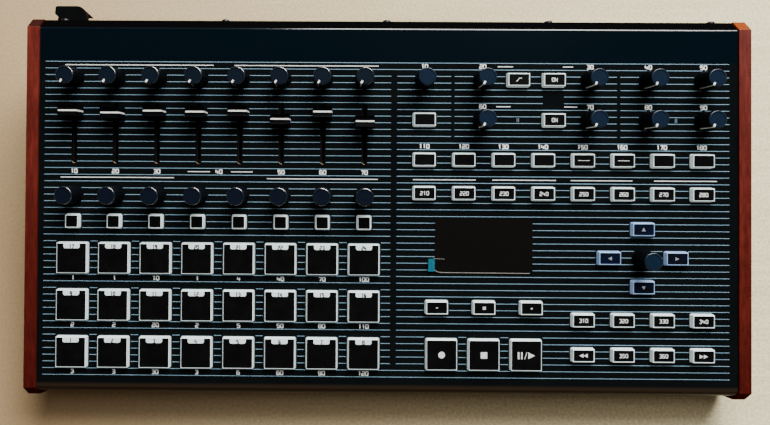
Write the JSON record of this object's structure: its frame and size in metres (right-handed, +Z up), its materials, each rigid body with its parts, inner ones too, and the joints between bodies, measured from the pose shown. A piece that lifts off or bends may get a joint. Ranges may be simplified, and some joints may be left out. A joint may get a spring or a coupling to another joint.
{
  "type": "drum machine",
  "caption": "Desktop drum machine: sloped navy panel with printed lines between wooden cheeks, square pads, faders, fluted knobs, small keys and a display.",
  "frame": {"origin": "centre of the outline, on the plane that the rubber feet stand on", "axes": "+X to the right of someone playing it, +Y to the rear, +Z up"},
  "size_m": [0.501, 0.275, 0.0818],
  "materials": {
    "panel_paint": "satin navy-black powder coat",
    "tray_paint": "matt black powder coat",
    "cheek_wood": "stained red-brown wood with a satin varnish",
    "board_green": "solder mask",
    "socket_black": "moulded black",
    "metal_grey": "stamped",
    "window_gloss": "black acrylic",
    "film_teal": "thin clear film with a teal tab",
    "foot_rubber": "matt",
    "screw_steel": "plated",
    "knob_navy": "fine satin",
    "cap_white": "translucent white with a black top",
    "fader_black": "satin"
  },
  "bodies": {
    "case": {"top_cover": "panel_paint", "bottom_tray": "tray_paint", "left_cheek": "cheek_wood", "right_cheek": "cheek_wood", "circuit_boards": "board_green", "rear_sockets": "socket_black", "fader_bodies": "metal_grey", "pot_bodies": "metal_grey", "display_module": "metal_grey", "display_window": "window_gloss", "display_film": "film_teal", "rubber_feet": "foot_rubber", "fasteners": "screw_steel", "cord_hook": "socket_black"},
    "power_rocker": {"power_rocker": "socket_black"},
    "pan_knob_1": {"pan_knob_1": "knob_navy"},
    "voice_knob_1": {"voice_knob_1": "knob_navy"},
    "pan_knob_2": {"pan_knob_2": "knob_navy"},
    "voice_knob_2": {"voice_knob_2": "knob_navy"},
    "pan_knob_3": {"pan_knob_3": "knob_navy"},
    "voice_knob_3": {"voice_knob_3": "knob_navy"},
    "pan_knob_4": {"pan_knob_4": "knob_navy"},
    "voice_knob_4": {"voice_knob_4": "knob_navy"},
    "pan_knob_5": {"pan_knob_5": "knob_navy"},
    "voice_knob_5": {"voice_knob_5": "knob_navy"},
    "pan_knob_6": {"pan_knob_6": "knob_navy"},
    "voice_knob_6": {"voice_knob_6": "knob_navy"},
    "pan_knob_7": {"pan_knob_7": "knob_navy"},
    "voice_knob_7": {"voice_knob_7": "knob_navy"},
    "pan_knob_8": {"pan_knob_8": "knob_navy"},
    "voice_knob_8": {"voice_knob_8": "knob_navy"},
    "metronome_knob": {"metronome_knob": "knob_navy"},
    "cutoff_knob": {"cutoff_knob": "knob_navy"},
    "resonance_knob": {"resonance_knob": "knob_navy"},
    "metronome_volume_knob": {"metronome_volume_knob": "knob_navy"},
    "master_knob": {"master_knob": "knob_navy"},
    "attack_knob": {"attack_knob": "knob_navy"},
    "sustain_knob": {"sustain_knob": "knob_navy"},
    "input_knob": {"input_knob": "knob_navy"},
    "phones_knob": {"phones_knob": "knob_navy"},
    "data_wheel": {"data_wheel": "knob_navy"},
    "fader_cap_1": {"fader_cap_1": "fader_black"},
    "fader_cap_2": {"fader_cap_2": "fader_black"},
    "fader_cap_3": {"fader_cap_3": "fader_black"},
    "fader_cap_4": {"fader_cap_4": "fader_black"},
    "fader_cap_5": {"fader_cap_5": "fader_black"},
    "fader_cap_6": {"fader_cap_6": "fader_black"},
    "fader_cap_7": {"fader_cap_7": "fader_black"},
    "fader_cap_8": {"fader_cap_8": "fader_black"},
    "pads_rear": {"pads_rear": "cap_white"},
    "pads_middle": {"pads_middle": "cap_white"},
    "pads_front": {"pads_front": "cap_white"},
    "select_buttons": {"select_buttons": "cap_white"},
    "transport_keys": {"transport_keys": "cap_white"},
    "filter_keys": {"filter_keys": "cap_white"},
    "function_keys": {"function_keys": "cap_white"},
    "edit_mode_keys": {"edit_mode_keys": "cap_white"},
    "menu_keys": {"menu_keys": "cap_white"},
    "arrow_keys": {"arrow_keys": "cap_white"},
    "pattern_keys": {"pattern_keys": "cap_white"}
  },
  "joints": [
    {"name": "pan_knob_1_turn", "type": "hinge", "parent": "case", "child": "pan_knob_1", "pos_m": [-0.2173, 0.08026, 0.06571], "axis": [0, 0.1564, -0.9877], "range_deg": [0, 300]},
    {"name": "voice_knob_1_turn", "type": "hinge", "parent": "case", "child": "voice_knob_1", "pos_m": [-0.2173, 0.0004, 0.05306], "axis": [0, 0.1564, -0.9877], "continuous": true},
    {"name": "pan_knob_2_turn", "type": "hinge", "parent": "case", "child": "pan_knob_2", "pos_m": [-0.1885, 0.08026, 0.06571], "axis": [0, 0.1564, -0.9877], "range_deg": [0, 300]},
    {"name": "voice_knob_2_turn", "type": "hinge", "parent": "case", "child": "voice_knob_2", "pos_m": [-0.1885, 0.0004, 0.05306], "axis": [0, 0.1564, -0.9877], "continuous": true},
    {"name": "pan_knob_3_turn", "type": "hinge", "parent": "case", "child": "pan_knob_3", "pos_m": [-0.1597, 0.08026, 0.06571], "axis": [0, 0.1564, -0.9877], "range_deg": [0, 300]},
    {"name": "voice_knob_3_turn", "type": "hinge", "parent": "case", "child": "voice_knob_3", "pos_m": [-0.1597, 0.0004, 0.05306], "axis": [0, 0.1564, -0.9877], "continuous": true},
    {"name": "pan_knob_4_turn", "type": "hinge", "parent": "case", "child": "pan_knob_4", "pos_m": [-0.1309, 0.08026, 0.06571], "axis": [0, 0.1564, -0.9877], "range_deg": [0, 300]},
    {"name": "voice_knob_4_turn", "type": "hinge", "parent": "case", "child": "voice_knob_4", "pos_m": [-0.1309, 0.0004, 0.05306], "axis": [0, 0.1564, -0.9877], "continuous": true},
    {"name": "pan_knob_5_turn", "type": "hinge", "parent": "case", "child": "pan_knob_5", "pos_m": [-0.1021, 0.08026, 0.06571], "axis": [0, 0.1564, -0.9877], "range_deg": [0, 300]},
    {"name": "voice_knob_5_turn", "type": "hinge", "parent": "case", "child": "voice_knob_5", "pos_m": [-0.1021, 0.0004, 0.05306], "axis": [0, 0.1564, -0.9877], "continuous": true},
    {"name": "pan_knob_6_turn", "type": "hinge", "parent": "case", "child": "pan_knob_6", "pos_m": [-0.0733, 0.08026, 0.06571], "axis": [0, 0.1564, -0.9877], "range_deg": [0, 300]},
    {"name": "voice_knob_6_turn", "type": "hinge", "parent": "case", "child": "voice_knob_6", "pos_m": [-0.0733, 0.0004, 0.05306], "axis": [0, 0.1564, -0.9877], "continuous": true},
    {"name": "pan_knob_7_turn", "type": "hinge", "parent": "case", "child": "pan_knob_7", "pos_m": [-0.0445, 0.08026, 0.06571], "axis": [0, 0.1564, -0.9877], "range_deg": [0, 300]},
    {"name": "voice_knob_7_turn", "type": "hinge", "parent": "case", "child": "voice_knob_7", "pos_m": [-0.0445, 0.0004, 0.05306], "axis": [0, 0.1564, -0.9877], "continuous": true},
    {"name": "pan_knob_8_turn", "type": "hinge", "parent": "case", "child": "pan_knob_8", "pos_m": [-0.0157, 0.08026, 0.06571], "axis": [0, 0.1564, -0.9877], "range_deg": [0, 300]},
    {"name": "voice_knob_8_turn", "type": "hinge", "parent": "case", "child": "voice_knob_8", "pos_m": [-0.0157, 0.0004, 0.05306], "axis": [0, 0.1564, -0.9877], "continuous": true},
    {"name": "metronome_knob_turn", "type": "hinge", "parent": "case", "child": "metronome_knob", "pos_m": [0.0257, 0.08026, 0.06571], "axis": [0, 0.1564, -0.9877], "continuous": true},
    {"name": "cutoff_knob_turn", "type": "hinge", "parent": "case", "child": "cutoff_knob", "pos_m": [0.066, 0.08026, 0.06571], "axis": [0, 0.1564, -0.9877], "range_deg": [0, 300]},
    {"name": "resonance_knob_turn", "type": "hinge", "parent": "case", "child": "resonance_knob", "pos_m": [0.1401, 0.08026, 0.06571], "axis": [0, 0.1564, -0.9877], "range_deg": [0, 300]},
    {"name": "metronome_volume_knob_turn", "type": "hinge", "parent": "case", "child": "metronome_volume_knob", "pos_m": [0.1803, 0.08026, 0.06571], "axis": [0, 0.1564, -0.9877], "range_deg": [0, 300]},
    {"name": "master_knob_turn", "type": "hinge", "parent": "case", "child": "master_knob", "pos_m": [0.2183, 0.08026, 0.06571], "axis": [0, 0.1564, -0.9877], "range_deg": [0, 300]},
    {"name": "attack_knob_turn", "type": "hinge", "parent": "case", "child": "attack_knob", "pos_m": [0.066, 0.05288, 0.06137], "axis": [0, 0.1564, -0.9877], "range_deg": [0, 300]},
    {"name": "sustain_knob_turn", "type": "hinge", "parent": "case", "child": "sustain_knob", "pos_m": [0.1401, 0.05288, 0.06137], "axis": [0, 0.1564, -0.9877], "range_deg": [0, 300]},
    {"name": "input_knob_turn", "type": "hinge", "parent": "case", "child": "input_knob", "pos_m": [0.1803, 0.05288, 0.06137], "axis": [0, 0.1564, -0.9877], "range_deg": [0, 300]},
    {"name": "phones_knob_turn", "type": "hinge", "parent": "case", "child": "phones_knob", "pos_m": [0.2183, 0.05288, 0.06137], "axis": [0, 0.1564, -0.9877], "range_deg": [0, 300]},
    {"name": "data_wheel_turn", "type": "hinge", "parent": "case", "child": "data_wheel", "pos_m": [0.17585, -0.04067, 0.04656], "axis": [0, 0.1564, -0.9877], "continuous": true},
    {"name": "fader_1_slide", "type": "slide", "parent": "case", "child": "fader_cap_1", "axis": [0, -0.9877, -0.1564], "range_m": [-0.0002, 0.0298]},
    {"name": "fader_2_slide", "type": "slide", "parent": "case", "child": "fader_cap_2", "axis": [0, -0.9877, -0.1564], "range_m": [-0.0016, 0.0284]},
    {"name": "fader_3_slide", "type": "slide", "parent": "case", "child": "fader_cap_3", "axis": [0, -0.9877, -0.1564], "range_m": [-0.0002, 0.0298]},
    {"name": "fader_4_slide", "type": "slide", "parent": "case", "child": "fader_cap_4", "axis": [0, -0.9877, -0.1564], "range_m": [-0.0007, 0.0293]},
    {"name": "fader_5_slide", "type": "slide", "parent": "case", "child": "fader_cap_5", "axis": [0, -0.9877, -0.1564], "range_m": [0, 0.03]},
    {"name": "fader_6_slide", "type": "slide", "parent": "case", "child": "fader_cap_6", "axis": [0, -0.9877, -0.1564], "range_m": [-0.0053, 0.0247]},
    {"name": "fader_7_slide", "type": "slide", "parent": "case", "child": "fader_cap_7", "axis": [0, -0.9877, -0.1564], "range_m": [-0.0002, 0.0298]},
    {"name": "fader_8_slide", "type": "slide", "parent": "case", "child": "fader_cap_8", "axis": [0, -0.9877, -0.1564], "range_m": [-0.0065, 0.0235]},
    {"name": "pads_rear_press", "type": "slide", "parent": "case", "child": "pads_rear", "axis": [0, 0.1564, -0.9877], "range_m": [0, 0.0012], "stiffness_N_per_m": 1600, "springref_m": -0.0006},
    {"name": "pads_middle_press", "type": "slide", "parent": "case", "child": "pads_middle", "axis": [0, 0.1564, -0.9877], "range_m": [0, 0.0012], "stiffness_N_per_m": 1600, "springref_m": -0.0006},
    {"name": "pads_front_press", "type": "slide", "parent": "case", "child": "pads_front", "axis": [0, 0.1564, -0.9877], "range_m": [0, 0.0012], "stiffness_N_per_m": 1600, "springref_m": -0.0006},
    {"name": "select_buttons_press", "type": "slide", "parent": "case", "child": "select_buttons", "axis": [0, 0.1564, -0.9877], "range_m": [0, 0.0008], "stiffness_N_per_m": 1600, "springref_m": -0.0006},
    {"name": "transport_keys_press", "type": "slide", "parent": "case", "child": "transport_keys", "axis": [0, 0.1564, -0.9877], "range_m": [0, 0.0012], "stiffness_N_per_m": 600, "springref_m": -0.0006},
    {"name": "filter_keys_press", "type": "slide", "parent": "case", "child": "filter_keys", "axis": [0, 0.1564, -0.9877], "range_m": [0, 0.0008], "stiffness_N_per_m": 800, "springref_m": -0.0006},
    {"name": "function_keys_press", "type": "slide", "parent": "case", "child": "function_keys", "axis": [0, 0.1564, -0.9877], "range_m": [0, 0.0008], "stiffness_N_per_m": 1600, "springref_m": -0.0006},
    {"name": "edit_mode_keys_press", "type": "slide", "parent": "case", "child": "edit_mode_keys", "axis": [0, 0.1564, -0.9877], "range_m": [0, 0.0008], "stiffness_N_per_m": 1600, "springref_m": -0.0006},
    {"name": "menu_keys_press", "type": "slide", "parent": "case", "child": "menu_keys", "axis": [0, 0.1564, -0.9877], "range_m": [0, 0.0008], "stiffness_N_per_m": 600, "springref_m": -0.0006},
    {"name": "arrow_keys_press", "type": "slide", "parent": "case", "child": "arrow_keys", "axis": [0, 0.1564, -0.9877], "range_m": [0, 0.0008], "stiffness_N_per_m": 800, "springref_m": -0.0006},
    {"name": "pattern_keys_press", "type": "slide", "parent": "case", "child": "pattern_keys", "axis": [0, 0.1564, -0.9877], "range_m": [0, 0.0008], "stiffness_N_per_m": 1600, "springref_m": -0.0006},
    {"name": "power_rocker_tilt", "type": "hinge", "parent": "case", "child": "power_rocker", "pos_m": [-0.1919, 0.12168, 0.022], "axis": [-1, 0, 0], "range_deg": [0, 20]}
  ]
}
